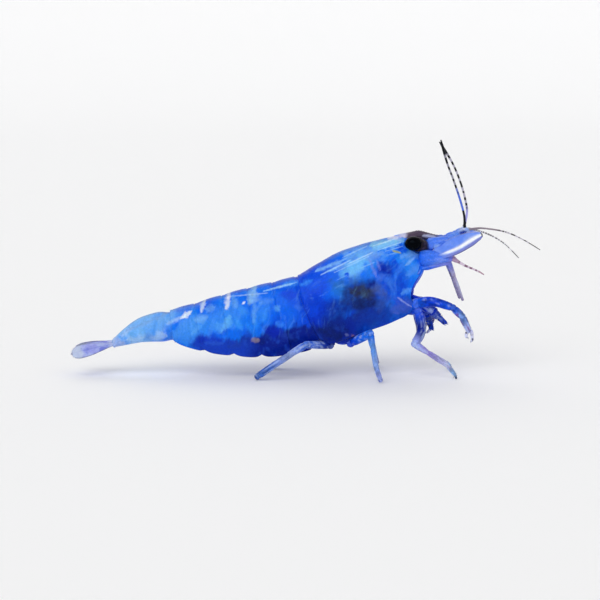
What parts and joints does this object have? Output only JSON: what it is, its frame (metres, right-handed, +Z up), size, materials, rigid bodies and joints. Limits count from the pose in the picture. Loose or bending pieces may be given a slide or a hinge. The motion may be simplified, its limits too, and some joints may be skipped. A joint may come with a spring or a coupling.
{
  "type": "dwarf freshwater shrimp",
  "caption": "Life-size still model of a blue dwarf freshwater shrimp, standing on its walking legs with the head raised and the feelers held up and forward.",
  "frame": {"origin": "on the floor that the feet stand on, under the middle of the bounding box", "axes": "+X towards the head, +Y towards the animal's left side, +Z up from the belly to the back"},
  "size_m": [0.0348, 0.0081, 0.0176],
  "materials": {
    "shell_blue": "glossy translucent blue shell with paler and darker patches",
    "rostrum_brown": "glossy brown-violet shell",
    "deep_blue": "satin deep blue flesh",
    "tail_lavender": "thin translucent lavender blades with fine ribs",
    "eye_black": "glossy black eye",
    "eyestalk_brown": "satin brown-violet",
    "feeler_base_blue": "glossy blue with lavender highlights",
    "whip_grey": "banded in dark grey and pale lavender",
    "whip_pink": "banded in pink-brown and grey",
    "scale_lavender": "thin glossy lavender blade with a white ridge",
    "mouth_leg_lilac": "satin lilac grey",
    "leg_blue": "glossy light blue with pale joints and dark specks"
  },
  "bodies": {
    "root": {"carapace": "shell_blue", "rostrum": "rostrum_brown", "head": "deep_blue", "mouthparts": "deep_blue", "thorax": "deep_blue", "abdomen_1": "shell_blue", "abdomen_2": "shell_blue", "abdomen_3": "shell_blue", "abdomen_4": "shell_blue", "abdomen_5": "shell_blue", "abdomen_6": "shell_blue", "telson": "tail_lavender", "uropod_inner_right": "tail_lavender", "uropod_inner_left": "tail_lavender", "uropod_outer_right": "tail_lavender", "uropod_outer_left": "tail_lavender", "eye_right": "eye_black", "eye_left": "eye_black", "eyestalk_right": "eyestalk_brown", "eyestalk_left": "eyestalk_brown", "antennule_right": "feeler_base_blue", "antennule_left": "feeler_base_blue", "antennule_whip_up_right": "whip_grey", "antennule_whip_up_left": "whip_grey", "antennule_whip_front_right": "whip_grey", "antennule_whip_front_left": "whip_grey", "antenna_base_right": "feeler_base_blue", "antenna_base_left": "feeler_base_blue", "antennal_scale_right": "scale_lavender", "antennal_scale_left": "scale_lavender", "antenna_whip_right": "whip_pink", "antenna_whip_left": "whip_pink", "maxilliped_right": "mouth_leg_lilac", "maxilliped_left": "mouth_leg_lilac", "leg_1_right": "leg_blue", "leg_1_left": "leg_blue", "leg_2_right": "leg_blue", "leg_2_left": "leg_blue", "leg_3_right": "leg_blue", "leg_3_left": "leg_blue", "leg_4_right": "leg_blue", "leg_4_left": "leg_blue", "leg_5_right": "leg_blue", "leg_5_left": "leg_blue", "swimmeret_1_right": "deep_blue", "swimmeret_1_left": "deep_blue", "swimmeret_2_right": "deep_blue", "swimmeret_2_left": "deep_blue", "swimmeret_3_right": "deep_blue", "swimmeret_3_left": "deep_blue", "swimmeret_4_right": "deep_blue", "swimmeret_4_left": "deep_blue", "swimmeret_5_right": "deep_blue", "swimmeret_5_left": "deep_blue"}
  },
  "joints": []
}
